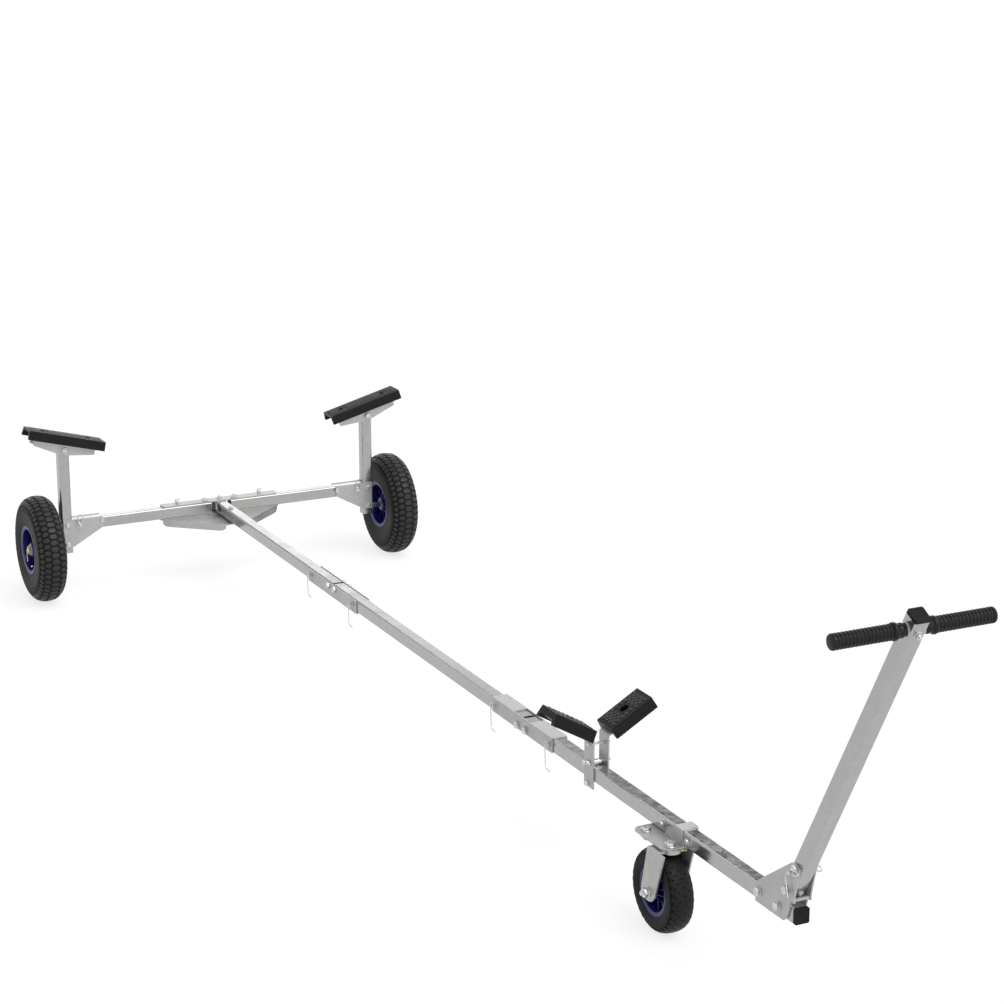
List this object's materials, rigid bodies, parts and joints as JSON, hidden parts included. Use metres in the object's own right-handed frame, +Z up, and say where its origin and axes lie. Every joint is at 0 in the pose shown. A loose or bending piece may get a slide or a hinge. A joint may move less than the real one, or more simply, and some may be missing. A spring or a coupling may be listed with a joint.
{
  "type": "dinghy trolley",
  "caption": "Folding galvanised launching trolley with tilting rubber hull rests, spoked pneumatic wheels, a nose caster and a leaning T-bar handle.",
  "frame": {"origin": "on the floor under the middle of the whole trolley", "axes": "+X forward to the handle, +Y to the left, +Z up"},
  "size_m": [4.4791, 1.439, 1.122],
  "materials": {
    "galvanised_tube": "galvanised, satin",
    "galvanised_sheet": "galvanised, satin",
    "bolt_steel": "zinc plated",
    "tyre_rubber": "matt",
    "rim_plastic": "satin",
    "pad_rubber": "satin",
    "grip_rubber": "satin",
    "cap_plastic": "satin"
  },
  "bodies": {
    "rear_frame": {"beam_rear": "galvanised_tube", "axle_channel": "galvanised_sheet", "junction_plate": "galvanised_sheet", "wing_pins": "bolt_steel"},
    "rear_link": {"link_rear": "galvanised_sheet", "link_rear_pins": "bolt_steel"},
    "middle_beam": {"beam_middle": "galvanised_tube"},
    "front_link": {"link_front": "galvanised_sheet", "link_front_pins": "bolt_steel"},
    "front_beam": {"beam_front": "galvanised_tube", "beam_cap": "cap_plastic", "bow_upright_left": "galvanised_sheet", "bow_upright_right": "galvanised_sheet", "bow_pad_left": "pad_rubber", "bow_pad_right": "pad_rubber", "caster_strap": "galvanised_sheet", "caster_plate": "galvanised_sheet", "handle_bracket": "galvanised_sheet", "handle_pin": "bolt_steel"},
    "handle": {"handle_tube": "galvanised_tube", "handle_cap": "cap_plastic", "t_bar": "galvanised_tube", "grip_left": "grip_rubber", "grip_right": "grip_rubber"},
    "caster": {"caster_fork": "galvanised_sheet", "caster_axle": "bolt_steel"},
    "caster_wheel": {"caster_tyre": "tyre_rubber", "caster_rim": "rim_plastic"},
    "wing_left": {"axle_tube_left": "galvanised_tube", "gusset_front_left": "galvanised_sheet", "gusset_back_left": "galvanised_sheet", "post_left": "galvanised_tube", "stub_axle_left": "bolt_steel", "pad_pin_left": "bolt_steel"},
    "wheel_left": {"tyre_left": "tyre_rubber", "rim_left": "rim_plastic"},
    "support_left": {"pad_bracket_left": "galvanised_sheet", "rear_pad_left": "pad_rubber"},
    "wing_right": {"axle_tube_right": "galvanised_tube", "gusset_front_right": "galvanised_sheet", "gusset_back_right": "galvanised_sheet", "post_right": "galvanised_tube", "stub_axle_right": "bolt_steel", "pad_pin_right": "bolt_steel"},
    "wheel_right": {"tyre_right": "tyre_rubber", "rim_right": "rim_plastic"},
    "support_right": {"pad_bracket_right": "galvanised_sheet", "rear_pad_right": "pad_rubber"}
  },
  "joints": [
    {"name": "wing_fold_left", "type": "hinge", "parent": "rear_frame", "child": "wing_left", "pos_m": [-2.0523, 0.055, 0.2615], "axis": [0, 0, 1], "range_deg": [-70, 0]},
    {"name": "wheel_spin_left", "type": "hinge", "parent": "wing_left", "child": "wheel_left", "pos_m": [-2.0523, 0.669, 0.1873], "axis": [0, 1, 0], "continuous": true},
    {"name": "support_tilt_left", "type": "hinge", "parent": "wing_left", "child": "support_left", "pos_m": [-2.0523, 0.576, 0.54], "axis": [1, 0, 0], "range_deg": [-15, 15]},
    {"name": "wing_fold_right", "type": "hinge", "parent": "rear_frame", "child": "wing_right", "pos_m": [-2.0523, -0.055, 0.2615], "axis": [0, 0, -1], "range_deg": [-70, 0]},
    {"name": "wheel_spin_right", "type": "hinge", "parent": "wing_right", "child": "wheel_right", "pos_m": [-2.0523, -0.669, 0.1873], "axis": [0, 1, 0], "continuous": true},
    {"name": "support_tilt_right", "type": "hinge", "parent": "wing_right", "child": "support_right", "pos_m": [-2.0523, -0.576, 0.54], "axis": [-1, 0, 0], "range_deg": [-15, 15]},
    {"name": "rear_fold", "type": "hinge", "parent": "rear_frame", "child": "rear_link", "pos_m": [-0.9653, 0, 0.2695], "axis": [0, -1, 0], "range_deg": [0, 88]},
    {"name": "middle_fold", "type": "hinge", "parent": "rear_link", "child": "middle_beam", "pos_m": [-0.9153, 0, 0.2695], "axis": [0, -1, 0], "range_deg": [0, 88]},
    {"name": "front_link_fold", "type": "hinge", "parent": "middle_beam", "child": "front_link", "pos_m": [0.4047, 0, 0.2535], "axis": [0, 1, 0], "range_deg": [0, 75]},
    {"name": "front_beam_fold", "type": "hinge", "parent": "front_link", "child": "front_beam", "pos_m": [0.4547, 0, 0.2535], "axis": [0, 1, 0], "range_deg": [0, 75]},
    {"name": "handle_fold", "type": "hinge", "parent": "front_beam", "child": "handle", "pos_m": [1.7907, 0, 0.318], "axis": [0, 1, 0], "range_deg": [-115, 0]},
    {"name": "caster_swivel", "type": "hinge", "parent": "front_beam", "child": "caster", "pos_m": [1.2987, -0.0455, 0.229], "axis": [0, 0, 1], "continuous": true},
    {"name": "caster_spin", "type": "hinge", "parent": "caster", "child": "caster_wheel", "pos_m": [1.2637, -0.0455, 0.111], "axis": [0, 1, 0], "continuous": true}
  ],
  "couplings": [
    {"joint": "middle_fold", "follows": "rear_fold", "ratio": 1},
    {"joint": "front_beam_fold", "follows": "front_link_fold", "ratio": 1}
  ]
}
